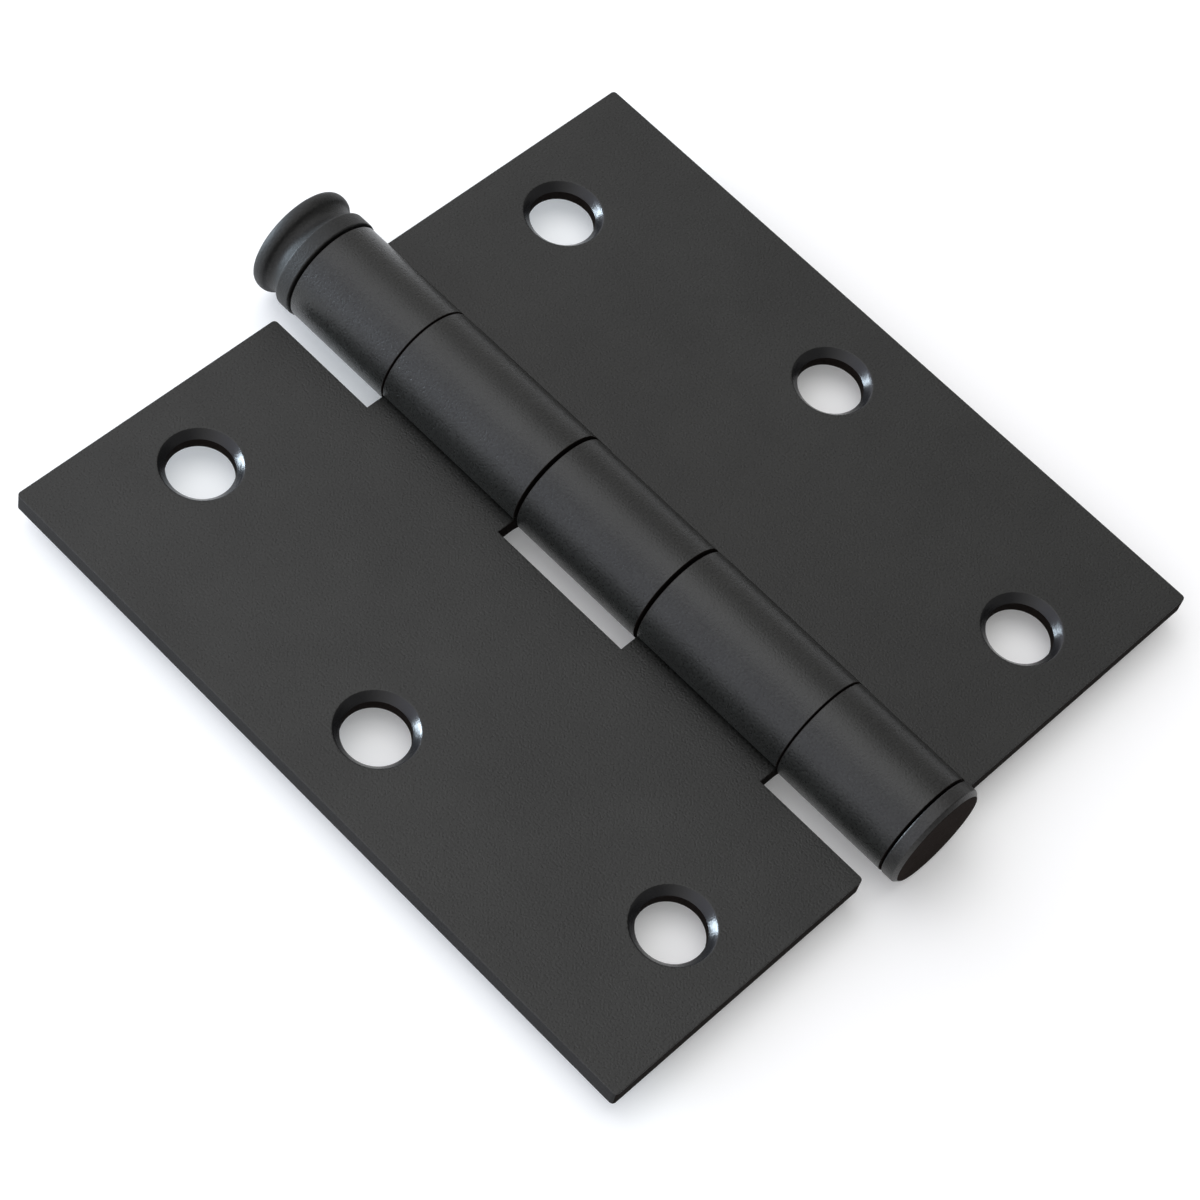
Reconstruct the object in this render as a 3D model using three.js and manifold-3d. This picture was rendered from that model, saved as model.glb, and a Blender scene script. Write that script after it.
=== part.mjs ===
// A loose-pin butt hinge for a door, laid open flat with its countersunk faces up.
//
// Units are millimetres. The origin is under the middle of the hinge, on the surface it lies on.
// +Y runs along the pin toward its button head, +X toward the three-knuckle leaf,
// and +Z out of the countersunk faces.
// Each piece is drawn about the pin's axis, with y = 0 halfway along the leaves,
// and the whole hinge is then lifted onto the surface.
//
// The leaves are sheet steel: one edge of each is curled into knuckles that the pin runs through.
// Closed, the countersunk faces lie against each other with CLOSED_GAP between them.

import * as THREE from 'three';
import { mergeVertices } from 'three/addons/utils/BufferGeometryUtils.js';
import Module from 'manifold-3d';

const wasm = await Module();
wasm.setup();

// ---- leaves
const LEAF_LENGTH = 88.9; // along the pin
const OPEN_WIDTH = 88.9; // over both leaves, laid open
const SHEET = 2.3; // thickness of the plates and of the knuckle walls
const EDGE_BREAK = 0.2; // softening of cut edges
const CORNER_RADIUS = 0.5; // plate corners, seen from above
const CLOSED_GAP = 3.3; // between the countersunk faces when the hinge is shut

// ---- knuckles
const PIN_DIAMETER = 7.9;
const PIN_CLEARANCE = 0.06; // radial, pin in knuckle
const END_KNUCKLE = 14.55; // length of the first and the fifth
const CENTRE_KNUCKLE = 17.7; // length of the third
const END_SEAM = 0.2; // between an end knuckle and its neighbour
const CENTRE_SEAM = 0.45; // on either side of the third knuckle
const CUT_BACK = 2.1; // from the barrel to the edge of a cut-out
const SWAGE_RADIUS = 4; // mid-sheet radius of the bend from plate to curl
const CURL_SLIT = 0.3; // where the end of a curl comes back over its plate
const TONGUE_LAP = 2; // how far a knuckle's tongue runs into its plate

// ---- screw holes, three in each leaf
const HOLE_DIAMETER = 7.5;
const COUNTERSINK_DIAMETER = 9.2;
const COUNTERSINK_ANGLE = 82; // included, in degrees
const END_HOLES_FROM_EDGE = 17.35; // from the plate's outer long edge
const MIDDLE_HOLE_FROM_EDGE = 9.85; // from the plate's outer long edge
const END_HOLES_FROM_END = 9.15; // from the plate's short ends

// ---- pin and its button head
const HEAD_SEAM = 0.3; // between the first knuckle and the collar
const COLLAR_PROUD = 0.19; // how far the collar stands out past the knuckles
const COLLAR_LENGTH = 2.1;
const NECK_SUNK = 0.36; // from the knuckles in to the bottom of the groove
const GROOVE_LENGTH = 1.9;
const BUTTON_PROUD = 0.39; // how far the button stands out past the knuckles
const BUTTON_RIM = 1.6; // height of the button's rounded rim
const BUTTON_CROWN = 0.25; // rise of its top above the rim
const PIN_POINT = 1.2; // length of the taper on the pin's lower end

// ---- plug in the lowest knuckle
const PLUG_SEAM = 0.25; // between the fifth knuckle and the plug's disc
const PLUG_DISC = 1.95; // thickness
const PLUG_CHAMFER = 0.45;
const PLUG_SPIGOT = 4; // length inside the knuckle
const SPIGOT_CLEARANCE = 0.05; // radial, in the faceted bore
const SPIGOT_TO_PIN = 0.6; // from the spigot to the pin's point

// ---- shared values
const ROUND = 56; // facets to a full turn
const STEEL_BLACK = 0x3f3f3d;
const TOP = LEAF_LENGTH / 2;
const BORE_RADIUS = PIN_DIAMETER / 2 + PIN_CLEARANCE;
const BARREL_RADIUS = BORE_RADIUS + SHEET;
const FACE_Z = -CLOSED_GAP / 2;
const BACK_Z = FACE_Z - SHEET;
const CUT_X = BARREL_RADIUS + CUT_BACK;
const COLLAR_SEAT = TOP + HEAD_SEAM;
const RIM_TOP = COLLAR_SEAT + COLLAR_LENGTH + GROOVE_LENGTH + BUTTON_RIM;
const PLUG_FACE = -TOP - PLUG_SEAM - PLUG_DISC;

// Extrusions and turned shapes are drawn in their own plane and laid down with this turn:
// what was up becomes +Z, and what was toward the viewer becomes -Y.
const LAID_DOWN = new THREE.Matrix4().makeBasis(
  new THREE.Vector3(1, 0, 0),
  new THREE.Vector3(0, 0, 1),
  new THREE.Vector3(0, -1, 0),
);
const HALF_TURN = new THREE.Matrix4().makeScale(-1, -1, 1);

function solid(geometry) {
  geometry.deleteAttribute('normal');
  geometry.deleteAttribute('uv');
  const merged = mergeVertices(geometry, 1e-5);
  return new wasm.Manifold(new wasm.Mesh({
    numProp: 3,
    vertProperties: new Float32Array(merged.attributes.position.array),
    triVerts: new Uint32Array(merged.index.array),
  }));
}

function paintedMesh(name, body, roughness) {
  const mesh = body.getMesh();
  const geometry = new THREE.BufferGeometry();
  geometry.setAttribute('position', new THREE.BufferAttribute(mesh.vertProperties, 3));
  geometry.setIndex(new THREE.BufferAttribute(mesh.triVerts, 1));
  geometry.computeVertexNormals();
  const paint = new THREE.MeshStandardMaterial({ color: STEEL_BLACK, roughness, metalness: 0.35 });
  const part = new THREE.Mesh(geometry, paint);
  part.name = name;
  return part;
}

// Points on an arc, from one angle to another in degrees, with both ends.
function arc(x, z, radius, from, to) {
  const steps = Math.max(2, Math.ceil((Math.abs(to - from) / 360) * ROUND));
  const points = [];
  for (let i = 0; i <= steps; i += 1) {
    const a = THREE.MathUtils.degToRad(from + ((to - from) * i) / steps);
    points.push(new THREE.Vector2(x + radius * Math.cos(a), z + radius * Math.sin(a)));
  }
  return points;
}

// One knuckle and its tongue, as a section across the pin.
// The sheet bends down from the plate, runs under the pin, up the far side and over the top,
// and its cut end comes back over its own plate with a narrow slit between them.
function knuckleSection() {
  const curlMid = BORE_RADIUS + SHEET / 2;
  const bendZ = (FACE_Z + BACK_Z) / 2 - SWAGE_RADIUS;
  const bendAngle = Math.acos(-bendZ / (curlMid + SWAGE_RADIUS));
  const bendX = (curlMid + SWAGE_RADIUS) * Math.sin(bendAngle);
  const bend = THREE.MathUtils.radToDeg(bendAngle);
  const joint = bend - 90;
  const slitZ = FACE_Z + CURL_SLIT;
  const innerEnd = THREE.MathUtils.radToDeg(Math.asin(slitZ / BORE_RADIUS));
  const outerEnd = THREE.MathUtils.radToDeg(Math.asin(slitZ / BARREL_RADIUS));
  const tongueX = CUT_X + TONGUE_LAP;
  return new THREE.Shape([
    new THREE.Vector2(tongueX, BACK_Z),
    new THREE.Vector2(tongueX, FACE_Z),
    ...arc(bendX, bendZ, SWAGE_RADIUS + SHEET / 2, 90, 90 + bend),
    ...arc(0, 0, BORE_RADIUS, joint, innerEnd - 360).slice(1),
    ...arc(0, 0, BARREL_RADIUS, outerEnd - 360, joint),
    ...arc(bendX, bendZ, SWAGE_RADIUS - SHEET / 2, 90 + bend, 90).slice(1),
  ]);
}

// An outline pushed straight through by a length, with its edges broken at both ends.
function softExtrusion(shape, length) {
  const geometry = new THREE.ExtrudeGeometry(shape, {
    depth: length - 2 * EDGE_BREAK,
    bevelEnabled: true,
    bevelThickness: EDGE_BREAK,
    bevelSize: EDGE_BREAK,
    bevelOffset: -EDGE_BREAK,
    bevelSegments: 1,
    curveSegments: 4,
  });
  return geometry.translate(0, 0, EDGE_BREAK);
}

function knuckle(span) {
  const geometry = softExtrusion(knuckleSection(), span.to - span.from);
  geometry.applyMatrix4(LAID_DOWN);
  geometry.translate(0, span.to, 0);
  return solid(geometry);
}

function plate() {
  const right = OPEN_WIDTH / 2;
  const r = CORNER_RADIUS;
  const outline = new THREE.Shape();
  outline.moveTo(CUT_X + r, -TOP);
  outline.lineTo(right - r, -TOP);
  outline.absarc(right - r, -TOP + r, r, -Math.PI / 2, 0, false);
  outline.lineTo(right, TOP - r);
  outline.absarc(right - r, TOP - r, r, 0, Math.PI / 2, false);
  outline.lineTo(CUT_X + r, TOP);
  outline.absarc(CUT_X + r, TOP - r, r, Math.PI / 2, Math.PI, false);
  outline.lineTo(CUT_X, -TOP + r);
  outline.absarc(CUT_X + r, -TOP + r, r, Math.PI, 1.5 * Math.PI, false);
  return solid(softExtrusion(outline, SHEET).translate(0, 0, BACK_Z));
}

// What a countersinking drill takes out of the plate, at one place.
function screwHole(x, y) {
  const coneDepth = (COUNTERSINK_DIAMETER - HOLE_DIAMETER) / 2
    / Math.tan(THREE.MathUtils.degToRad(COUNTERSINK_ANGLE / 2));
  const clear = SHEET;
  const coneSpread = clear * Math.tan(THREE.MathUtils.degToRad(COUNTERSINK_ANGLE / 2));
  const cutter = new THREE.LatheGeometry([
    new THREE.Vector2(0, BACK_Z - clear),
    new THREE.Vector2(HOLE_DIAMETER / 2, BACK_Z - clear),
    new THREE.Vector2(HOLE_DIAMETER / 2, FACE_Z - coneDepth),
    new THREE.Vector2(COUNTERSINK_DIAMETER / 2 + coneSpread, FACE_Z + clear),
    new THREE.Vector2(0, FACE_Z + clear),
  ], ROUND);
  cutter.applyMatrix4(LAID_DOWN);
  return solid(cutter.translate(x, y, 0));
}

// A leaf on the +X side: its plate, its knuckles and its three screw holes.
function leafBody(spans) {
  let body = plate();
  for (const span of spans) {
    body = body.add(knuckle(span));
  }
  const endX = OPEN_WIDTH / 2 - END_HOLES_FROM_EDGE;
  const endY = TOP - END_HOLES_FROM_END;
  const holes = [[endX, endY], [OPEN_WIDTH / 2 - MIDDLE_HOLE_FROM_EDGE, 0], [endX, -endY]];
  for (const [x, y] of holes) {
    body = body.subtract(screwHole(x, y));
  }
  return body;
}

function threeKnuckleLeaf() {
  const spans = [
    { from: TOP - END_KNUCKLE, to: TOP },
    { from: -CENTRE_KNUCKLE / 2, to: CENTRE_KNUCKLE / 2 },
    { from: -TOP, to: -TOP + END_KNUCKLE },
  ];
  return paintedMesh('three_knuckle_leaf', leafBody(spans), 0.55);
}

// The facing leaf fills the spaces between the other's knuckles, and is the same plate turned round.
function twoKnuckleLeaf() {
  const near = CENTRE_KNUCKLE / 2 + CENTRE_SEAM;
  const far = TOP - END_KNUCKLE - END_SEAM;
  const spans = [{ from: near, to: far }, { from: -far, to: -near }];
  const mesh = paintedMesh('two_knuckle_leaf', leafBody(spans), 0.55);
  mesh.geometry.applyMatrix4(HALF_TURN);
  return mesh;
}

// The pin and its head are one turned piece: shank, collar, groove and button.
function hingePin() {
  const shank = PIN_DIAMETER / 2;
  const point = -TOP + PLUG_SPIGOT + SPIGOT_TO_PIN;
  const collar = BARREL_RADIUS + COLLAR_PROUD;
  const neck = BARREL_RADIUS - NECK_SUNK;
  const button = BARREL_RADIUS + BUTTON_PROUD;
  const collarTop = COLLAR_SEAT + COLLAR_LENGTH;
  const rimLow = collarTop + GROOVE_LENGTH;
  const rimRound = BUTTON_RIM / 2;
  const profile = [
    new THREE.Vector2(0, point),
    new THREE.Vector2(shank - PIN_POINT / 2, point),
    new THREE.Vector2(shank, point + PIN_POINT),
    new THREE.Vector2(shank, COLLAR_SEAT),
    new THREE.Vector2(collar - 2 * EDGE_BREAK, COLLAR_SEAT),
    new THREE.Vector2(collar, COLLAR_SEAT + 2 * EDGE_BREAK),
    new THREE.Vector2(collar, collarTop - 2 * EDGE_BREAK),
  ];
  // the groove, a shallow cosine hollow between collar and button
  const grooveSteps = 8;
  for (let i = 0; i <= grooveSteps; i += 1) {
    const t = i / grooveSteps;
    const lip = collar + (button - 2 * EDGE_BREAK - collar) * t;
    const dip = (Math.min(collar, button) - neck) * Math.sin(Math.PI * t);
    profile.push(new THREE.Vector2(lip - dip, collarTop + GROOVE_LENGTH * t));
  }
  // the rim, a half-round, and the low crown above it
  const rimSteps = 8;
  for (let i = 1; i <= rimSteps; i += 1) {
    const a = Math.PI * (i / rimSteps - 0.5);
    const swell = 2 * EDGE_BREAK * Math.cos(a);
    profile.push(new THREE.Vector2(button - 2 * EDGE_BREAK + swell, rimLow + rimRound * (1 + Math.sin(a))));
  }
  const crownSteps = 5;
  const crownRadius = button - 2 * EDGE_BREAK;
  for (let i = 1; i <= crownSteps; i += 1) {
    const t = i / crownSteps;
    profile.push(new THREE.Vector2(crownRadius * (1 - t), RIM_TOP + BUTTON_CROWN * (1 - (1 - t) ** 2)));
  }
  return paintedMesh('hinge_pin', solid(new THREE.LatheGeometry(profile, ROUND)), 0.45);
}

// A turned plug pressed up into the fifth knuckle. It closes the barrel below the pin.
function bottomPlug() {
  const spigot = BORE_RADIUS - SPIGOT_CLEARANCE;
  const discTop = PLUG_FACE + PLUG_DISC;
  const spigotTop = -TOP + PLUG_SPIGOT;
  const profile = [
    new THREE.Vector2(0, PLUG_FACE),
    new THREE.Vector2(BARREL_RADIUS - PLUG_CHAMFER, PLUG_FACE),
    new THREE.Vector2(BARREL_RADIUS, PLUG_FACE + PLUG_CHAMFER),
    new THREE.Vector2(BARREL_RADIUS, discTop - EDGE_BREAK),
    new THREE.Vector2(BARREL_RADIUS - EDGE_BREAK, discTop),
    new THREE.Vector2(spigot, discTop),
    new THREE.Vector2(spigot, spigotTop - EDGE_BREAK),
    new THREE.Vector2(spigot - EDGE_BREAK, spigotTop),
    new THREE.Vector2(0, spigotTop),
  ];
  return paintedMesh('bottom_plug', solid(new THREE.LatheGeometry(profile, ROUND)), 0.5);
}

// The button is the widest turned piece, so the hinge lies on its rim.
const lowest = BARREL_RADIUS + Math.max(BUTTON_PROUD, COLLAR_PROUD);
const hinge = new THREE.Group();
hinge.name = 'butt_hinge';
hinge.add(threeKnuckleLeaf(), twoKnuckleLeaf(), hingePin(), bottomPlug());
hinge.position.set(0, -(RIM_TOP + BUTTON_CROWN + PLUG_FACE) / 2, lowest);

export default hinge;
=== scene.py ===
import math

import bpy
import numpy as np
from mathutils import Matrix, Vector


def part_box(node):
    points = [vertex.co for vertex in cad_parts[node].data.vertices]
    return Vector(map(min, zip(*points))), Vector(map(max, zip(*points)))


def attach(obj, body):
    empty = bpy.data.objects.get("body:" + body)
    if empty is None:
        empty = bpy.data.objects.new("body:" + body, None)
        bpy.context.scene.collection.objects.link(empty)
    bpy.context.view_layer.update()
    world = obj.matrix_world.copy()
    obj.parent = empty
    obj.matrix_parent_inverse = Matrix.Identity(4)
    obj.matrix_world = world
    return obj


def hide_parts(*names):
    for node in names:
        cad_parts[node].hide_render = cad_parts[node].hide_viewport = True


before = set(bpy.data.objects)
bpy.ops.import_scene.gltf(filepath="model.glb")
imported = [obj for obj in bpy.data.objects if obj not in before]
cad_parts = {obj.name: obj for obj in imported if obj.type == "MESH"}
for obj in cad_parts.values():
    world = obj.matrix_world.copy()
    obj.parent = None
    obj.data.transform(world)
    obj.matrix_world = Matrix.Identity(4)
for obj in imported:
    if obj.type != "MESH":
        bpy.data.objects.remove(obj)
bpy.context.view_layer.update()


# ---------------------------------------------------------------------------------------------
# Three-knuckle leaf: one blank of 2.3 mm mild steel, sheared and pierced, with three strips along
# one edge curled right round the pin. Its screw holes are pierced and then countersunk, and the
# whole leaf is sprayed with a satin black coat before the hinge is put together.
# ---------------------------------------------------------------------------------------------

# lengths in millimetres, from the pin's axis and from the middle of the leaf
SHEET = 2.3
PLATE_END = 44.45  # from the middle to either short end
OUTER_EDGE = 44.45  # from the axis to the plate's long outer edge
CUT_OUT = 8.41  # from the axis to the plate's inner edge beside a cut-out
FACE = -1.65  # height of the countersunk face
CORNER = 0.5  # rounding of the plate's corners, seen from above
EDGE_ROLL = 0.06  # rounding that the shears leave along both sides of an edge
CUT_RINGS = (0.35, -0.4)  # heights of two grid rings part way down the straight cut
THREE_KNUCKLES = [(29.9, PLATE_END), (-8.85, 8.85), (-PLATE_END, -29.9)]

BORE = 4.01  # radius inside the knuckles
BARREL = BORE + SHEET
SWAGE = 4.0  # mid-sheet radius of the bend from plate to curl
SLIT = 0.3  # between the cut end of a curl and its own plate
LEVELLED = 4.0  # length of curl over which its cut end is brought level

END_HOLE = (17.35, 35.3)  # from the outer edge and from the middle
MIDDLE_HOLE = (9.85, 0.0)
HOLES = [(END_HOLE[0], -END_HOLE[1]), MIDDLE_HOLE, END_HOLE]
HOLE_RADIUS = 3.75
SINK_RADIUS = 4.6
SINK_HALF_ANGLE = math.radians(41)
SINK_LIP = 0.06  # the cutter's small burr round the countersink, rolled over by the coat
HOLE_CELL = 7.0  # half the square of plate that each hole's rings fill

PLATE_CELL, CURL_CELL = 0.9, 0.45  # widest cells of the drawn grid

# where the plate, the swage and the curl meet, measured along the blank from the outer edge
HALF_SHEET = SHEET / 2
MID_SHEET = FACE - HALF_SHEET
CURL_RADIUS = BORE + HALF_SHEET
SWAGE_TURN = math.acos((SWAGE - MID_SHEET) / (CURL_RADIUS + SWAGE))
SWAGE_X = (CURL_RADIUS + SWAGE) * math.sin(SWAGE_TURN)
SWAGE_START = OUTER_EDGE - SWAGE_X
CURL_START = SWAGE_START + SWAGE * SWAGE_TURN
CURL_JOINT = SWAGE_TURN - math.pi / 2
CURL_END_ANGLE = math.asin((FACE + SLIT) / CURL_RADIUS) - 2 * math.pi
BLANK_END = CURL_START + CURL_RADIUS * (CURL_JOINT - CURL_END_ANGLE)
PLATE_INNER = OUTER_EDGE - CUT_OUT

# the three states of a face: under the full coat, slit or parted off, and cropped. The slit,
# parted and cropped faces take darker and duller coats, whose darker tone is painted shade
FULL_COAT, SLIT_EDGE, CROPPED = 0, 1, 2

# the pieces' place in the frame, in metres
MM = 0.001
pin_low, pin_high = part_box("hinge_pin")
leaf_low, leaf_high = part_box("three_knuckle_leaf")
AXIS_HEIGHT = (pin_low.z + pin_high.z) / 2
LEAF_MIDDLE = (leaf_low.y + leaf_high.y) / 2


def curled(along, across, height):
    """A point of the flat blank, taken to its place on the bent leaf.

    The blank is flat up to SWAGE_START, turns down round a centre under the plate, and from
    CURL_START runs round the pin. A height above mid-sheet is added along the normal: up in the
    flat, away from the swage's centre, and in toward the pin on the curl. The last few
    millimetres are sheared so that the cut end lies level, a slit's width over its own plate.
    """
    swage_angle = math.pi / 2 + (along - SWAGE_START) / SWAGE
    swage_z = MID_SHEET - SWAGE
    curl_angle = CURL_JOINT - (along - CURL_START) / CURL_RADIUS
    level_end = np.arcsin(np.clip((FACE + SLIT) / (CURL_RADIUS - height), -1, 1)) - 2 * math.pi
    shear = np.clip((along - (BLANK_END - LEVELLED)) / LEVELLED, 0, 1)
    curl_angle = curl_angle + shear * shear * (level_end - CURL_END_ANGLE)
    flat = along <= SWAGE_START
    swage = ~flat & (along <= CURL_START)
    x = np.where(flat, OUTER_EDGE - along, np.where(
        swage, SWAGE_X + (SWAGE + height) * np.cos(swage_angle),
        (CURL_RADIUS - height) * np.cos(curl_angle)))
    z = np.where(flat, MID_SHEET + height, np.where(
        swage, swage_z + (SWAGE + height) * np.sin(swage_angle),
        (CURL_RADIUS - height) * np.sin(curl_angle)))
    return np.stack([x, across, z], axis=-1)


def lines(stops, spacing):
    """Grid lines through every stop, evenly filled in so that none is more than spacing apart."""
    stops = sorted(set(stops))
    runs = [
        np.linspace(a, b, max(1, math.ceil((b - a) / spacing - 1e-9)) + 1)[:-1]
        for a, b in zip(stops[:-1], stops[1:])
    ]
    return np.concatenate(runs + [np.array(stops[-1:])])


def quads(rows, columns, closed=False):
    """Corner numbers of the quads of a rows x columns grid of points, numbered row by row. When
    closed, the last column is joined to the first."""
    wide = columns if closed else columns - 1
    row, column = np.meshgrid(np.arange(rows - 1), np.arange(wide), indexing="ij")
    after = (column + 1) % columns
    here, below = row * columns, (row + 1) * columns
    return np.stack([here + column, here + after, below + after, below + column], -1)


def welded(parts):
    """Several (points, quads, marks, raw) patches as one closed surface.

    Points that coincide become one, quads that lose a side become triangles, which are kept as
    quads whose last two corners are the same, and all faces point out of the enclosed volume.
    raw is each face's state: FULL_COAT, SLIT_EDGE or CROPPED.
    """
    counts = np.cumsum([0] + [len(part[0]) for part in parts])
    points = np.concatenate([part[0] for part in parts])
    faces = np.concatenate([part[1].reshape(-1, 4) + n for part, n in zip(parts, counts[:-1])])
    marks = np.concatenate([part[2] for part in parts])
    raw = np.concatenate([
        np.broadcast_to(part[3], part[1].shape[:-1]).reshape(-1) for part in parts])
    _, first, place = np.unique(
        np.round(points, 5), axis=0, return_index=True, return_inverse=True)
    points, marks, faces = points[first], marks[first], place.reshape(-1)[faces]
    for _ in range(3):
        lost_side = (faces == np.roll(faces, -1, axis=1)).any(1)[:, None]
        faces = np.where(faces[:, 3:] == faces[:, 2:3], faces, np.where(
            lost_side, np.roll(faces, 1, axis=1), faces))
    sides = (faces != np.roll(faces, -1, axis=1)).sum(1)
    crossed = (faces[:, 0] == faces[:, 2]) | (faces[:, 1] == faces[:, 3])
    faces, raw = faces[(sides > 2) & ~crossed], raw[(sides > 2) & ~crossed]
    used, faces = np.unique(faces, return_inverse=True)
    points, marks, faces = points[used], marks[used], faces.reshape(-1, 4)
    a, b, c, d = (points[faces[:, k]] for k in range(4))
    volume = np.sum(a * np.cross(b, c)) + np.sum(a * np.cross(c, d))
    if volume < 0:
        triangle = faces[:, 3:] == faces[:, 2:3]
        faces = np.where(triangle, faces[:, [2, 1, 0, 0]], faces[:, ::-1])
    return points, faces, marks, raw


def blank_grid(spans, flush):
    """Grid lines over the flat blank, s along it from the outer edge and v across it from the
    middle, and which of the cells between them are covered: all of the plate, and beyond its
    inner edge the spans of the knuckles. Lines run through every edge of the blank, through the
    corners' roundings, and round the squares where the pierced holes go."""
    fine = [CORNER / 3, 2 * CORNER / 3, CORNER]
    along_stops = [0, *fine, PLATE_INNER, SWAGE_START, CURL_START]
    across_stops = [-PLATE_END, PLATE_END, *[end for span in spans for end in span]]
    across_stops += [side * (PLATE_END - f) for side in (-1, 1) for f in fine]
    if not flush:
        along_stops += [PLATE_INNER - f for f in fine]
    for s, v in HOLES:
        along_stops += [s - HOLE_CELL, s + HOLE_CELL]
        across_stops += [v - HOLE_CELL, v + HOLE_CELL]
    s_lines = np.concatenate([
        lines([s for s in along_stops if s <= PLATE_INNER], PLATE_CELL)[:-1],
        lines([s for s in [*along_stops, BLANK_END] if s >= PLATE_INNER], CURL_CELL),
    ])
    v_lines = lines(across_stops, PLATE_CELL)
    s_mid = (s_lines[1:] + s_lines[:-1])[:, None] / 2
    v_mid = (v_lines[1:] + v_lines[:-1])[None, :] / 2
    in_span = np.any([(v_mid > low) & (v_mid < high) for low, high in spans], axis=0)
    covered = (s_mid < PLATE_INNER) | in_span
    pierced = np.zeros_like(covered)
    for s, v in HOLES:
        pierced |= (abs(s_mid - s) < HOLE_CELL) & (abs(v_mid - v) < HOLE_CELL)
    return s_lines, v_lines, covered, pierced


def blank_outline(covered):
    """The grid edges between a covered cell and an empty one, each as two point numbers in the
    order that keeps the blank on the same side, and with it the direction (s, v) into the
    blank."""
    columns = covered.shape[1] + 1
    padded = np.pad(covered, 1)
    inside, before_s, before_v = padded[1:-1, 1:-1], padded[:-2, 1:-1], padded[1:-1, :-2]
    after_s, after_v = padded[2:, 1:-1], padded[1:-1, 2:]
    edges, inward = [], []
    for mask, corner_a, corner_b, direction in (
        (inside & ~before_s, (0, 0), (0, 1), (1, 0)),
        (inside & ~after_s, (1, 1), (1, 0), (-1, 0)),
        (inside & ~before_v, (1, 0), (0, 0), (0, 1)),
        (inside & ~after_v, (0, 1), (1, 1), (0, -1)),
    ):
        i, j = np.nonzero(mask)
        edges.append(np.stack([
            (i + corner_a[0]) * columns + j + corner_a[1],
            (i + corner_b[0]) * columns + j + corner_b[1]], -1))
        inward.append(np.tile(np.array(direction, float), (len(i), 1)))
    return np.concatenate(edges), np.concatenate(inward)


def outline_inset(s_lines, v_lines, edges, inward):
    """How each grid point moves for every millimetre that the outline is drawn in, and which
    points are on the outline. A point on it moves by the sum of its edges' inward directions,
    cut to one each way, so along a straight run it moves square to the run and at a corner along
    the mitre. Within CORNER of a plate edge the lines inside move too, less the further in."""
    mitre = np.zeros((len(s_lines) * len(v_lines), 2))
    for end in (0, 1):
        np.add.at(mitre, edges[:, end], inward)
    mitre = np.clip(mitre, -1, 1).reshape(len(s_lines), len(v_lines), 2)
    on_outline = np.abs(mitre).sum(-1) > 0
    from_edge = np.abs(s_lines[:, None, None] - np.array([0, PLATE_INNER])[None, :, None])
    inner_row = int(np.argmin(abs(s_lines - PLATE_INNER)))
    pull_s = mitre[[0, inner_row], :, 0]
    room_s = (np.clip(1.0 - from_edge / CORNER, 0, 1) * pull_s[None]).sum(1)
    from_end = np.abs(v_lines[:, None] - np.array([-PLATE_END, PLATE_END]))
    room_v = mitre[:, [0, -1], 1] @ np.clip(1.0 - from_end / CORNER, 0, 1).T
    inset = np.where(on_outline[..., None], mitre, np.stack([room_s, room_v], -1))
    return inset, on_outline


def rounded_corners(s, v, corners):
    """Blank points with the given plate corners rounded, seen from above: the square (a, b) of
    side CORNER at a corner goes to its quarter disc by a' = a sqrt(1 - b b / 2), and b' = b
    sqrt(1 - a a / 2)."""
    for corner_s, corner_v in corners:
        sign_s, sign_v = (1 if corner_s > 0 else -1), (1 if corner_v > 0 else -1)
        a = (sign_s * (s - corner_s) + CORNER) / CORNER
        b = (sign_v * (v - corner_v) + CORNER) / CORNER
        near = (a > 0) & (b > 0) & (a < 1.01) & (b < 1.01)
        round_a = np.where(near, a * np.sqrt(np.clip(1 - b * b / 2, 0, 1)), a)
        round_b = np.where(near, b * np.sqrt(np.clip(1 - a * a / 2, 0, 1)), b)
        s = corner_s + sign_s * CORNER * (round_a - 1)
        v = corner_v + sign_v * CORNER * (round_b - 1)
    return s, v


def sheared_edge():
    """A sheared edge as (inset, height) steps from the countersunk side to the back: a quarter
    round of radius EDGE_ROLL, the straight cut, and the same quarter round again. Gives the
    steps, and how many of the strips between them belong to the first quarter round."""
    quarter = [0, math.pi / 6, math.pi / 3, math.pi / 2]
    upper = [
        (EDGE_ROLL * (1 - math.sin(t)), HALF_SHEET - EDGE_ROLL * (1 - math.cos(t)))
        for t in quarter
    ]
    lower = [(inset, -height) for inset, height in upper[::-1]]
    straight = [(0, height) for height in CUT_RINGS]
    return upper + straight + lower, len(upper) - 1


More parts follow.
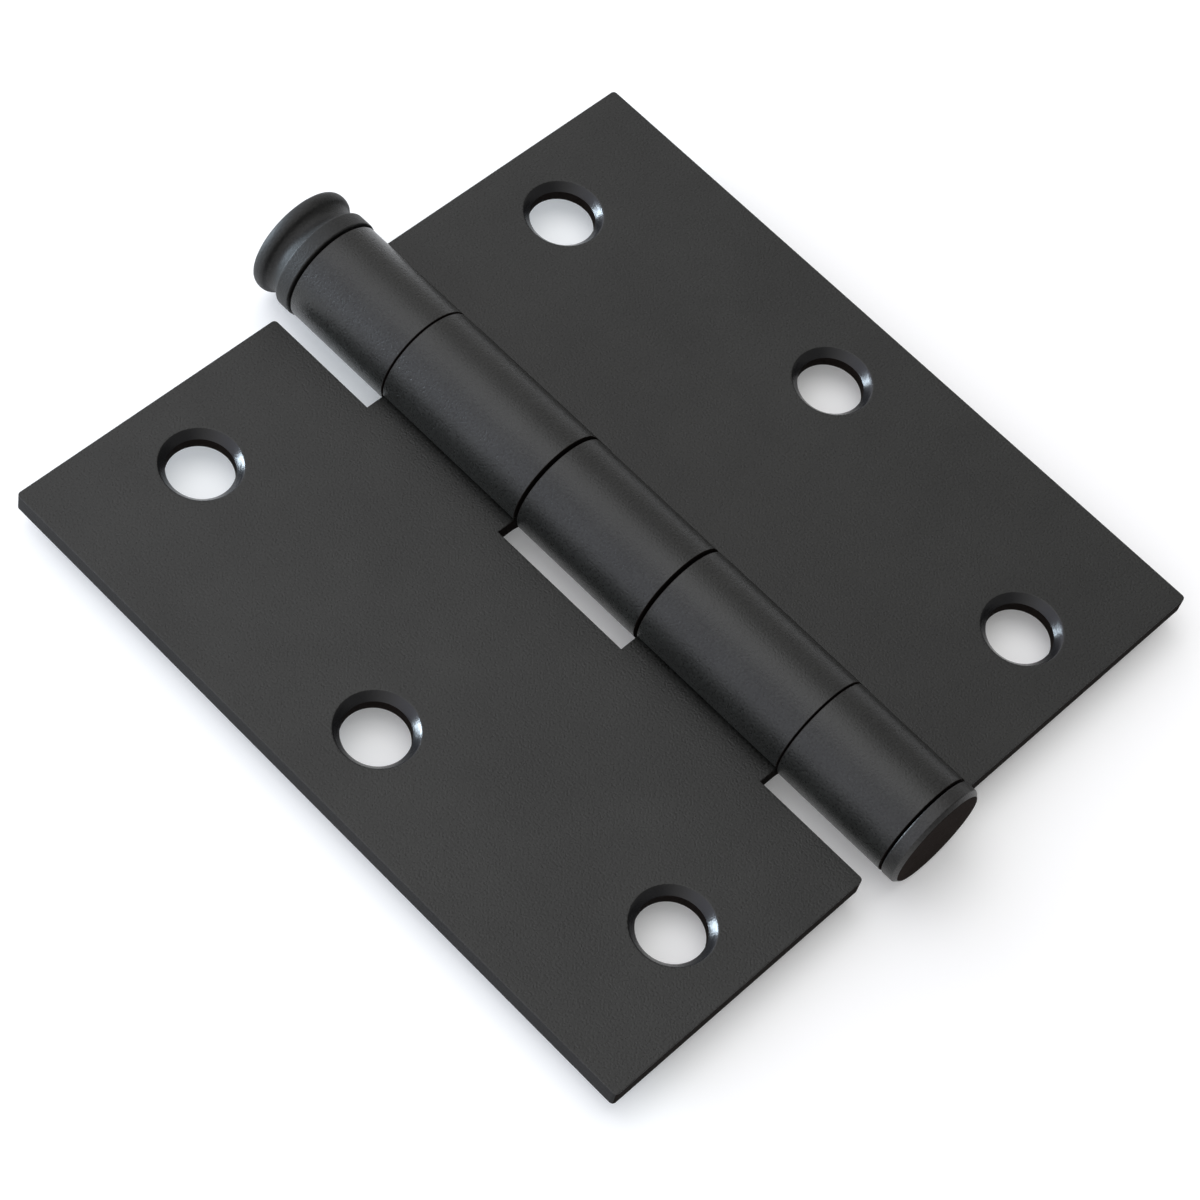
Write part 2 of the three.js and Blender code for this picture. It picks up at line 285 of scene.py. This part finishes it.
def hole_surface(s, v, s_lines, v_lines):
    """The patch for the square of plate round the screw hole at (s, v), still to be bent.

    Each point of the square's outline runs in toward the hole's centre through a list of rings
    of (distance from the centre, height). From the square the distance shrinks in shares of
    what is left to the countersink. Then come the lip, the cone and the bore, and on the back
    the same shares lead out again.
    """
    sink_width = SINK_RADIUS - HOLE_RADIUS
    sink_depth = sink_width / math.tan(SINK_HALF_ANGLE)
    top, back = HALF_SHEET, -HALF_SHEET
    # a ring's radius, its height, how much it shows the cutter's finish (0 to 1), and the state
    # of the wall from it to the next ring
    rings = [
        # the flat round the countersink, and the lip
        (SINK_RADIUS + 0.2, top, 0, FULL_COAT),
        (SINK_RADIUS + SINK_LIP, top, 0, FULL_COAT),
        (SINK_RADIUS + 0.3 * SINK_LIP, top - 0.3 * SINK_LIP, 0.3, FULL_COAT),
        (SINK_RADIUS - SINK_LIP, top - 1.2 * SINK_LIP, 1, FULL_COAT),
        # a third and two thirds of the way down the cone, and its eased foot
        (SINK_RADIUS - 0.33 * sink_width, top - 0.33 * sink_depth, 1, FULL_COAT),
        (SINK_RADIUS - 0.66 * sink_width, top - 0.66 * sink_depth, 1, FULL_COAT),
        (HOLE_RADIUS + 0.03, top - sink_depth + 0.04, 1, CROPPED),
        # the bore, and its edge on the back, eased by a tenth of a millimetre. From the cone's
        # foot down most of the bore the wall is CROPPED, and takes the coat with painted shade
        (HOLE_RADIUS, top - sink_depth - 0.04, 0, CROPPED),
        (HOLE_RADIUS, -0.5, 0, CROPPED),
        (HOLE_RADIUS, 0.1 - HALF_SHEET, 0, FULL_COAT),
        (HOLE_RADIUS + 0.04, 0.03 - HALF_SHEET, 0, FULL_COAT),
        (HOLE_RADIUS + 0.12, back, 0, FULL_COAT),
    ]
    shares = [1, 0.7, 0.45, 0.25, 0.1]
    i0, i1 = (int(np.argmin(abs(s_lines - edge))) for edge in (s - HOLE_CELL, s + HOLE_CELL))
    j0, j1 = (int(np.argmin(abs(v_lines - edge))) for edge in (v - HOLE_CELL, v + HOLE_CELL))
    i = np.concatenate([
        np.arange(i0, i1), np.full(j1 - j0, i1), np.arange(i1, i0, -1), np.full(j1 - j0, i0)])
    j = np.concatenate([
        np.full(i1 - i0, j0), np.arange(j0, j1), np.full(i1 - i0, j1), np.arange(j1, j0, -1)])
    ds, dv = s_lines[i] - s, v_lines[j] - v
    away = np.hypot(ds, dv)
    first, last = rings[0][0], rings[-1][0]
    radii = [first + share * (away - first) for share in shares]
    radii += [np.full_like(away, ring[0]) for ring in rings]
    radii += [last + share * (away - last) for share in shares[::-1]]
    radii = np.array(radii)
    plain = [0] * len(shares)
    heights = [top] * len(shares) + [ring[1] for ring in rings] + [back] * len(shares)
    heights = np.array(heights, float)[:, None] + 0 * away
    sunk = np.repeat(np.array(plain + [ring[2] for ring in rings] + plain, float), len(away))
    state = np.array(plain + [ring[3] for ring in rings] + plain[1:])[:, None]
    points = curled(
        (s + radii * ds / away).reshape(-1), (v + radii * dv / away).reshape(-1),
        heights.reshape(-1))
    marks = np.stack([sunk, np.zeros(len(points))], -1)
    faces = quads(len(radii), len(away), closed=True)[..., ::-1]
    return points, faces, marks, state


def leaf_surface(spans, flush):
    """The whole skin of a leaf, drawn flat over its blank and bent by curled().

    The covered cells of the blank's grid give the countersunk side and the back, sheared_edge()
    is carried round the outline between them, and hole_surface() fills the square that is left
    open round each screw hole. flush says that the end knuckles come right out to the plate's
    ends, which leaves the plate no corners beside the barrel.
    """
    s_lines, v_lines, covered, pierced = blank_grid(spans, flush)
    edges, inward = blank_outline(covered)
    inset, on_outline = outline_inset(s_lines, v_lines, edges, inward)
    s_grid, v_grid = np.meshgrid(s_lines, v_lines, indexing="ij")
    corners = [(0, -PLATE_END), (0, PLATE_END)]
    if not flush:
        corners += [(PLATE_INNER, -PLATE_END), (PLATE_INNER, PLATE_END)]

    def drawn_in(depth, height, keep=slice(None)):
        """The blank's points at a height, with its outline drawn in by depth, bent."""
        s = (s_grid + depth * inset[..., 0]).reshape(-1)[keep]
        v = (v_grid + depth * inset[..., 1]).reshape(-1)[keep]
        s, v = rounded_corners(s, v, corners)
        return curled(s, v, np.full_like(s, height))

    profile, roll_strips = sheared_edge()
    skin = quads(len(s_lines), len(v_lines))[covered & ~pierced]
    unmarked = np.zeros((s_grid.size, 2))
    parts = [
        (drawn_in(*profile[0]), skin, unmarked, FULL_COAT),
        (drawn_in(*profile[-1]), skin[:, ::-1], unmarked, FULL_COAT),
    ]

    # the sheared edge: one strip of quads round the outline for each step of its profile
    at = np.nonzero(on_outline.reshape(-1))[0]
    number = np.zeros(s_grid.size, int)
    number[at] = np.arange(len(at))
    start, end = number[edges[:, 0]], number[edges[:, 1]]
    upper = np.arange(len(profile) - 1)[:, None] * len(at)
    lower = upper + len(at)
    walls = np.stack([start + lower, end + lower, end + upper, start + upper], -1)
    points = np.concatenate([drawn_in(depth, height, at) for depth, height in profile])
    cut_end = (s_grid.reshape(-1)[at] > BLANK_END - 0.01).astype(float)
    marks = np.stack([np.zeros(len(points)), np.tile(cut_end, len(profile))], -1)
    under_roll = (np.arange(len(profile) - 1) >= roll_strips)[:, None]
    # ends across the blank are cropped and take the coat with painted shade; the long edges are
    # slit, and their coat's darker tone is painted shade too
    cut = np.where(inward[:, 1] != 0, CROPPED, SLIT_EDGE)[None, :]
    parts.append((points, walls, marks, np.where(under_roll, cut, FULL_COAT)))

    parts += [hole_surface(s, v, s_lines, v_lines) for s, v in HOLES]
    return welded(parts)


def made_piece(name, points, faces, marks, raw, coats, turned=False):
    """A mesh object with its place in its mesh: millimetres about the pin's axis become metres
    in the frame, after half a turn about the upright when turned. Each point's normal is the
    area-weighted mean of its faces', so flats stay flat and rounded edges shade smoothly. marks
    gives the countersinks (first column) and the cut ends of the curls (second). The first coat
    is the piece's own, and the others are for its raw faces, by their state."""
    if turned:
        points = points * np.array([-1, -1, 1])
    place = points * MM + np.array([0, LEAF_MIDDLE, AXIS_HEIGHT])
    mesh = bpy.data.meshes.new(name)
    triangle = (faces[:, 2] == faces[:, 3]).tolist()
    corners = [face[:3] if short else face for face, short in zip(faces.tolist(), triangle)]
    mesh.from_pydata(place.tolist(), [], corners)
    for coat in coats:
        mesh.materials.append(coat)
    coat_number = np.minimum(raw, len(coats) - 1).astype(np.int32)
    mesh.polygons.foreach_set("material_index", coat_number)
    for column, label in enumerate(("sink", "cut_end")):
        layer = mesh.attributes.new(label, "FLOAT", "POINT")
        layer.data.foreach_set("value", np.ascontiguousarray(marks[:, column], np.float32))
    a, b, c, d = (place[faces[:, k]] for k in range(4))
    face_normal = np.cross(c - a, d - b)
    normal = np.zeros_like(place)
    for k in range(4):
        np.add.at(normal, faces[:, k], face_normal)
    normal /= np.maximum(np.linalg.norm(normal, axis=1, keepdims=True), 1e-20)
    mesh.shade_smooth()
    mesh.normals_split_custom_set_from_vertices(normal.tolist())
    piece = bpy.data.objects.new(name, mesh)
    bpy.context.scene.collection.objects.link(piece)
    return piece


def linear(hex_colour):
    """An sRGB hex colour as the linear RGBA that a socket takes."""
    channels = np.array([int(hex_colour[i:i + 2], 16) for i in (1, 3, 5)]) / 255
    channels = np.where(
        channels <= 0.04045, channels / 12.92, ((channels + 0.055) / 1.055) ** 2.4)
    return (*channels.tolist(), 1.0)


def add_node(material, kind, settings=(), links=()):
    """Adds one node to a material. settings are its properties and its sockets' values, by name
    or number, and links are the outputs that feed its inputs."""
    node = material.node_tree.nodes.new(kind)
    for key, value in dict(settings).items():
        if hasattr(node, str(key)) and key not in node.inputs:
            setattr(node, key, value)
        else:
            node.inputs[key].default_value = value
    for key, source in dict(links).items():
        material.node_tree.links.new(source, node.inputs[key])
    return node


# the enamel's grain and mottle; sizes in millimetres
GRAIN_RELIEF = 0.05  # height of the spray's grain
GLOSS_SPREAD = 0.03  # how far the roughness drifts from grain to grain, each way
MOTTLE = 9  # width of the slow drift in tone that a spray gun leaves
GRAIN_SHARE, MOTTLE_SHARE = 0.7, 0.3  # of the change in tone
TONE_RANGE = (0.38, 0.62)  # where the tone is darkest and lightest
# the thin coat in a countersink: smoother, flatter, and with a trace of the metal's own gleam
SINK_BLACK, SINK_GLOSS, SINK_RELIEF, SINK_METAL = "#1c1c1d", 0.22, 0.3, 0.1
# painted glints: grey spots along a curl's cut end, about half a millimetre apart, which are
# bare steel where the coat is chipped and stand in for the glints of the rough cut as well
BARE_STEEL_AND_GLINT, CHIP_AND_GLINT_SIZE = "#8b8a86", 0.5


def satin_black_coat(name, dark, light, gloss, grain, sheen, sinks=False, chipped_with_glints=False):
    """Black baking enamel sprayed on steel: satin, with a fine pebbled grain.

    The grain is a noise of that many millimetres, seen as a slight change of tone, of gloss and
    of height, over the slow mottle. With sinks, the countersinks show the thin and smoother coat
    over the cutter's finish. The last flag puts grey spots along the curls' cut ends: bare steel
    where the coat is chipped, and painted glints of the rough cut.
    """
    coat = bpy.data.materials.new(name)
    coat.use_nodes = True
    coat.node_tree.nodes.clear()
    place = add_node(coat, "ShaderNodeTexCoord").outputs["Object"]
    grains = add_node(
        coat, "ShaderNodeTexNoise",
        {"Scale": 1 / (grain * MM), "Detail": 3.0, "Roughness": 0.6},
        {"Vector": place}).outputs["Fac"]
    mottle = add_node(
        coat, "ShaderNodeTexNoise",
        {"Scale": 1 / (MOTTLE * MM), "Detail": 4.0, "Roughness": 0.55},
        {"Vector": place}).outputs["Fac"]
    tone = add_node(
        coat, "ShaderNodeMath", {"operation": "MULTIPLY_ADD", 1: GRAIN_SHARE, 2: 0.0},
        {0: grains}).outputs[0]
    tone = add_node(
        coat, "ShaderNodeMath", {"operation": "MULTIPLY_ADD", 1: MOTTLE_SHARE},
        {0: mottle, 2: tone}).outputs[0]
    tones = add_node(coat, "ShaderNodeValToRGB", links={"Fac": tone})
    for band, position, shade in zip(tones.color_ramp.elements, TONE_RANGE, (dark, light)):
        band.position, band.color = position, linear(shade)
    colour = tones.outputs["Color"]
    rough = add_node(
        coat, "ShaderNodeMapRange",
        {"From Min": 0.3, "From Max": 0.7,
         "To Min": gloss - GLOSS_SPREAD, "To Max": gloss + GLOSS_SPREAD},
        {"Value": grains}).outputs[0]
    bump = add_node(
        coat, "ShaderNodeBump", {"Strength": 1.0, "Distance": GRAIN_RELIEF * MM},
        {"Height": grains})
    metal = None
    if sinks:
        sunk = add_node(coat, "ShaderNodeAttribute", {"attribute_name": "sink"}).outputs["Fac"]
        colour = add_node(
            coat, "ShaderNodeMix", {"data_type": "RGBA", 7: linear(SINK_BLACK)},
            {0: sunk, 6: colour}).outputs[2]
        rough = add_node(
            coat, "ShaderNodeMix", {3: SINK_GLOSS}, {0: sunk, 2: rough}).outputs[0]
        level = add_node(
            coat, "ShaderNodeMapRange", {"To Min": 1.0, "To Max": SINK_RELIEF},
            {"Value": sunk}).outputs[0]
        coat.node_tree.links.new(level, bump.inputs["Strength"])
        metal = add_node(
            coat, "ShaderNodeMath", {"operation": "MULTIPLY", 1: SINK_METAL},
            {0: sunk}).outputs[0]
    # painted glints: grey spots of bare steel along the curls' cut ends
    if chipped_with_glints:
        end = add_node(
            coat, "ShaderNodeAttribute", {"attribute_name": "cut_end"}).outputs["Fac"]
        chips_and_glints = add_node(
            coat, "ShaderNodeTexNoise", {"Scale": 1 / (CHIP_AND_GLINT_SIZE * MM), "Detail": 2.0},
            {"Vector": place}).outputs["Fac"]
        chips_and_glints = add_node(
            coat, "ShaderNodeMapRange", {"From Min": 0.66, "From Max": 0.7},
            {"Value": chips_and_glints}).outputs[0]
        chips_and_glints = add_node(
            coat, "ShaderNodeMath", {"operation": "MULTIPLY"}, {0: end, 1: chips_and_glints}).outputs[0]
        colour = add_node(
            coat, "ShaderNodeMix", {"data_type": "RGBA", 7: linear(BARE_STEEL_AND_GLINT)},
            {0: chips_and_glints, 6: colour}).outputs[2]
    shader = add_node(
        coat, "ShaderNodeBsdfPrincipled", {"IOR": 1.5, "Specular IOR Level": sheen},
        {"Base Color": colour, "Roughness": rough, "Normal": bump.outputs[0]})
    if metal is not None:
        coat.node_tree.links.new(metal, shader.inputs["Metallic"])
    output = add_node(coat, "ShaderNodeOutputMaterial", links={"Surface": shader.outputs[0]})
    coat.node_tree.nodes.active = output
    return coat


# the sprayed faces: a soft grey sheen that spreads wide over a fine pebbled grain. The real grain
# is about a tenth of a millimetre, and is drawn at a quarter of one so that it shows.
leaf_coat = satin_black_coat(
    "satin_black_sprayed_coat", "#0c0c0a", "#1f1f1d", gloss=0.29, grain=0.24, sheen=0.42,
    sinks=True)
# the slit long edges hold less of the spray and are rougher, so they give back little light,
# and their darker tone is painted shade on these side faces. Along the curls' cut ends this coat
# has grey spots of bare steel, which are also painted glints of the rough cut
painted_shade_edge_coat = satin_black_coat(
    "thin_coat_with_painted_shade_on_slit_edges", "#0c0b0b", "#161515", gloss=0.62, grain=0.3, sheen=0.14,
    chipped_with_glints=True)
# the cropped ends and the holes' bores are torn metal under a dry coat. Its dull brown-black,
# with almost no reflection, is painted shade on the leaves' ends and in the bores
painted_shade_crop_coat = satin_black_coat(
    "dull_painted_shade_on_cropped_ends", "#15110f", "#1f1b19", gloss=0.85, grain=0.3, sheen=0.02)

three_leaf = made_piece(
    "curled_leaf_with_three_knuckles", *leaf_surface(THREE_KNUCKLES, flush=True),
    coats=[leaf_coat, painted_shade_edge_coat, painted_shade_crop_coat])
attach(three_leaf, "three_knuckle_leaf")
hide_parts("three_knuckle_leaf")


# ---------------------------------------------------------------------------------------------
# Two-knuckle leaf: the same steel blank and the same coat, with two strips that fill the spaces
# between the other leaf's three. It faces the first leaf across the pin, turned half round.
# ---------------------------------------------------------------------------------------------

TWO_KNUCKLES = [(9.3, 29.7), (-29.7, -9.3)]

two_leaf = made_piece(
    "curled_leaf_with_two_knuckles", *leaf_surface(TWO_KNUCKLES, flush=False),
    coats=[leaf_coat, painted_shade_edge_coat, painted_shade_crop_coat], turned=True)
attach(two_leaf, "two_knuckle_leaf")
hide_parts("two_knuckle_leaf")


# ---------------------------------------------------------------------------------------------
# Hinge pin: steel rod turned with a button head, a groove and a collar at its upper end. It drops
# in from above and stands on its collar, and lifts out so that the door can be taken off.
# ---------------------------------------------------------------------------------------------

# radii, and heights up the barrel from its middle
SHANK, SHANK_LOW = 3.95, -39.85
TIP, TIP_HIGH, TIP_ROUND = SHANK - 0.6, SHANK_LOW + 1.2, 0.75
COLLAR, COLLAR_LOW, COLLAR_HIGH = 6.5, 44.75, 46.85
COLLAR_FOOT, COLLAR_ROUND = 0.2, 0.4  # the roundings below and above the collar
NECK = 5.95  # radius at the bottom of the groove
GROOVE_HIGH, GROOVE_LEDGE = 48.75, 0.15
GROOVE_DEPTH = COLLAR - 0.1 - NECK
BUTTON, BUTTON_ROUND, RIM_HIGH = 6.7, 0.4, 50.35
CROWN = 0.25  # rise of the button's middle over its rim
AROUND = 160  # points round every turned piece
TIP_RING, SHANK_RINGS, COLLAR_RING = 1.7, 60, 4.6  # grid rings on the tip, shank and collar


def turned_surface(profile, parted_below=-100.0):
    """A profile of (radius, height) points carried round the pin's axis, which is the Y axis
    here: each point goes to (radius cos t, height, radius sin t). Both ends of the profile lie
    on the axis, where the ring closes to one point. The faces below parted_below are the ones
    that the parting tool left."""
    radius, height = np.array(profile).T
    angle = np.arange(AROUND) * 2 * math.pi / AROUND
    points = np.stack([
        radius[:, None] * np.cos(angle), height[:, None] + 0 * angle,
        radius[:, None] * np.sin(angle)], -1).reshape(-1, 3)
    faces = quads(len(radius), AROUND, closed=True)
    parted = np.where(height[1:] < parted_below, SLIT_EDGE, FULL_COAT)[:, None]
    return welded([(points, faces, np.zeros((len(points), 2)), parted)])


def fillet(centre, radius, start, end, steps=5):
    """Points on a rounding in the profile: centre + radius (cos t, sin t), with t from start to
    end in degrees."""
    angle = np.radians(np.linspace(start, end, steps))
    return list(zip(centre[0] + radius * np.cos(angle), centre[1] + radius * np.sin(angle)))


def groove_and_head():
    """The profile from the collar up. The groove is a line from the collar's ledge to the
    button's, drawn in by its depth times sin(pi u) to the 0.8. The button's rim is a half
    ellipse, and its crown a parabola that falls with the square of the radius."""
    u = np.linspace(0, 1, 15)[1:-1]
    lip = COLLAR - GROOVE_LEDGE + (BUTTON - BUTTON_ROUND - COLLAR + GROOVE_LEDGE) * u
    groove_radius = lip - GROOVE_DEPTH * np.sin(math.pi * u) ** 0.8
    groove_height = COLLAR_HIGH + (GROOVE_HIGH - COLLAR_HIGH) * u
    rim_half = (RIM_HIGH - GROOVE_HIGH) / 2
    t = np.radians(np.linspace(-80, 80, 13))
    rim_radius = BUTTON - BUTTON_ROUND + BUTTON_ROUND * np.cos(t)
    rim_height = GROOVE_HIGH + rim_half * (1 + np.sin(t))
    inward = np.linspace(0.06, 1, 16)
    crown_radius = (BUTTON - BUTTON_ROUND) * (1 - inward)
    crown_height = RIM_HIGH + CROWN * (1 - (1 - inward) ** 2)
    return [
        *zip(groove_radius, groove_height), *zip(rim_radius, rim_height),
        *zip(crown_radius, crown_height)]


pin_profile = [(0, SHANK_LOW), (TIP_RING, SHANK_LOW), (TIP, SHANK_LOW)]
pin_profile += fillet((SHANK - TIP_ROUND, TIP_HIGH), TIP_ROUND, -40, 0)
pin_profile += [(SHANK, y) for y in np.linspace(SHANK_LOW + 2, COLLAR_LOW, SHANK_RINGS)]
pin_profile += [(COLLAR_RING, COLLAR_LOW)]
pin_profile += fillet((COLLAR - COLLAR_FOOT, COLLAR_LOW + COLLAR_FOOT), COLLAR_FOOT, -90, 0)
pin_profile += fillet((COLLAR - COLLAR_ROUND, COLLAR_HIGH - COLLAR_ROUND), COLLAR_ROUND, 0, 50)
pin_profile += groove_and_head()

# the same enamel over a turned finish, baked a little flatter than on the leaves
pin_coat = satin_black_coat(
    "satin_black_coat_on_turned_pin", "#0d0d0c", "#20201e", gloss=0.55, grain=0.24, sheen=0.36)
pin = made_piece("turned_button_head_pin", *turned_surface(pin_profile), coats=[pin_coat])
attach(pin, "pin")
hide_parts("hinge_pin")


# ---------------------------------------------------------------------------------------------
# Bottom plug: a turned steel disc with a short spigot, pressed up into the lowest knuckle so that
# the barrel ends in a closed face below the pin.
# ---------------------------------------------------------------------------------------------

SPIGOT, SPIGOT_HIGH, SPIGOT_RING = 3.96, -40.45, -42.5
DISC_HIGH, DISC_LOW, CHAMFER = -44.7, -46.65, 0.45
PLUG_ROUND, FACE_ROUND = 0.2, 0.15  # roundings of the disc's and spigot's edges, and the face's
CHAMFER_EASE = 0.1  # how far the chamfer's two roundings stand off its corners
FACE_RINGS = (0, 2, 4)  # grid rings over the disc's face
FACE_BAND = 0.16  # faces whose height is this near the disc's lower end are the parted ones

plug_profile = [(radius, DISC_LOW) for radius in (*FACE_RINGS, BARREL - CHAMFER - FACE_ROUND)]
plug_profile += fillet(
    (BARREL - CHAMFER - CHAMFER_EASE, DISC_LOW + FACE_ROUND), FACE_ROUND, -90, -45, 3)
plug_profile += fillet(
    (BARREL - PLUG_ROUND, DISC_LOW + CHAMFER + CHAMFER_EASE), PLUG_ROUND, -45, 0, 3)
plug_profile += fillet((BARREL - PLUG_ROUND, DISC_HIGH - PLUG_ROUND), PLUG_ROUND, 0, 90)
plug_profile += [(SPIGOT, DISC_HIGH), (SPIGOT, SPIGOT_RING)]
plug_profile += fillet((SPIGOT - PLUG_ROUND, SPIGOT_HIGH - PLUG_ROUND), PLUG_ROUND, 0, 90, 3)
plug_profile += [(FACE_RINGS[1], SPIGOT_HIGH), (0, SPIGOT_HIGH)]

# enamel over the turned side, and on the parted face a dry brown-black coat with no shine,
# which is painted shade on that face
plug_coat = satin_black_coat(
    "satin_black_coat_on_plug", "#0f0e0d", "#22211f", gloss=0.4, grain=0.24, sheen=0.42)
painted_shade_face_coat = satin_black_coat(
    "dull_painted_shade_on_parted_face", "#17110e", "#241d1a", gloss=0.85, grain=0.3, sheen=0.02)
plug = made_piece(
    "turned_bottom_plug", *turned_surface(plug_profile, DISC_LOW + FACE_BAND),
    coats=[plug_coat, painted_shade_face_coat])
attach(plug, "three_knuckle_leaf")
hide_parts("bottom_plug")


# ---------------------------------------------------------------------------------------------
# The studio: a pale sheet of board under the hinge, lit through a little from below, a broad soft
# light overhead, a panel low behind the pin's head, and a white tent round it all.
# ---------------------------------------------------------------------------------------------

BOARD_HALF, BOARD_CELLS = 3.0, 24  # metres, and cells along a side
BOARD_GLOW = 0.15


def pale_board():
    """A flat square grid of points at z = 0, a few metres wide."""
    line = np.linspace(-BOARD_HALF, BOARD_HALF, BOARD_CELLS + 1)
    x, y = np.meshgrid(line, line, indexing="ij")
    points = np.stack([x, y, 0 * x], -1).reshape(-1, 3)
    mesh = bpy.data.meshes.new("pale_board")
    faces = quads(len(line), len(line)).reshape(-1, 4)
    mesh.from_pydata(points.tolist(), [], faces.tolist())
    board = bpy.data.objects.new("pale_board", mesh)
    bpy.context.scene.collection.objects.link(board)
    return board


floor = pale_board()
board_white = bpy.data.materials.new("matt_white_board")
board_white.use_nodes = True
board_shader = board_white.node_tree.nodes["Principled BSDF"].inputs
board_shader["Base Color"].default_value = linear("#f4f4f3")
board_shader["Roughness"].default_value = 0.9
board_shader["Specular IOR Level"].default_value = 0.1
board_shader["Emission Color"].default_value = linear("#ffffff")
board_shader["Emission Strength"].default_value = BOARD_GLOW
floor.data.materials.append(board_white)


def outward(azimuth, elevation):
    """Unit direction out from the hinge at two angles in radians: (sin a cos e, -cos a cos e,
    sin e), so that azimuth 0 is toward -Y and a quarter turn toward +X."""
    return np.array([
        math.sin(azimuth) * math.cos(elevation), -math.cos(azimuth) * math.cos(elevation),
        math.sin(elevation)])


def soft_panel(name, size, watts, azimuth, elevation, distance, colour="#ffffff"):
    """An oblong area light on a sphere round the hinge, facing the sphere's middle. Angles are
    in degrees, and sizes and distance in metres."""
    a, e = math.radians(azimuth), math.radians(elevation)
    light = bpy.data.lights.new(name, "AREA")
    light.shape, light.size, light.size_y = "RECTANGLE", *size
    light.energy, light.color = watts, linear(colour)[:3]
    lamp = bpy.data.objects.new(name, light)
    lamp.location = (outward(a, e) * distance).tolist()
    lamp.rotation_euler = (math.pi / 2 - e, 0, a)
    bpy.context.scene.collection.objects.link(lamp)


soft_panel(
    "overhead_softbox", (1.0, 1.0), watts=3, azimuth=180, elevation=80, distance=1.2)
soft_panel(
    "low_panel_behind_the_head", (0.42, 0.2), watts=17, azimuth=207, elevation=6.5,
    distance=1.0, colour="#d5e6f4")

# the tent is open toward +X and -Y, where the room is dimmer, and coolest on its bright side
TENT_BRIGHT_SIDE = (-0.6, 0.8, 0.0)
world = bpy.data.worlds.new("white_tent")
world.use_nodes = True
direction = add_node(world, "ShaderNodeTexCoord").outputs["Generated"]
toward = add_node(
    world, "ShaderNodeVectorMath", {"operation": "DOT_PRODUCT", 1: TENT_BRIGHT_SIDE},
    {0: direction}).outputs["Value"]
glow = add_node(
    world, "ShaderNodeMapRange",
    {"From Min": -0.65, "From Max": 0.5, "To Min": 0.27, "To Max": 1.45},
    {"Value": toward}).outputs[0]
hue = add_node(
    world, "ShaderNodeMix", {"data_type": "RGBA", 6: linear("#fafafa"), 7: linear("#f1f1ff")},
    {0: toward}).outputs[2]
tent = world.node_tree.nodes["Background"]
world.node_tree.links.new(hue, tent.inputs["Color"])
world.node_tree.links.new(glow, tent.inputs["Strength"])
bpy.context.scene.world = world
bpy.context.scene.view_settings.view_transform = "Standard"


# ---------------------------------------------------------------------------------------------
# The camera, which looks down at the hinge from beyond the two-knuckle leaf and the plug.
# ---------------------------------------------------------------------------------------------

SENSOR_WIDTH, LENS_LENGTH = 36.0, 101.94
LOOK_AZIMUTH, LOOK_ELEVATION, LOOK_ROLL = map(math.radians, (-59.52, 57.0, -17.2))
LOOK_DISTANCE = 0.35669
LOOK_AT = np.array([-5.92 * MM, -3.64 * MM + LEAF_MIDDLE, AXIS_HEIGHT + FACE * MM])
NEAREST, FARTHEST = 0.01, 50

back = outward(LOOK_AZIMUTH, LOOK_ELEVATION)
across = np.cross(-back, [0, 0, 1])
right = across / np.linalg.norm(across)
down = np.cross(-back, right)
right_rolled = math.cos(LOOK_ROLL) * right + math.sin(LOOK_ROLL) * down
down_rolled = math.cos(LOOK_ROLL) * down - math.sin(LOOK_ROLL) * right
stand = np.eye(4)
stand[:3, :3] = np.stack([right_rolled, -down_rolled, back], axis=1)
stand[:3, 3] = LOOK_AT + back * LOOK_DISTANCE

lens = bpy.data.cameras.new("camera")
lens.sensor_width, lens.lens = SENSOR_WIDTH, LENS_LENGTH
lens.clip_start, lens.clip_end = NEAREST, FARTHEST
camera = bpy.data.objects.new("camera", lens)
camera.matrix_world = Matrix(stand.tolist())
bpy.context.scene.collection.objects.link(camera)
bpy.context.scene.camera = camera
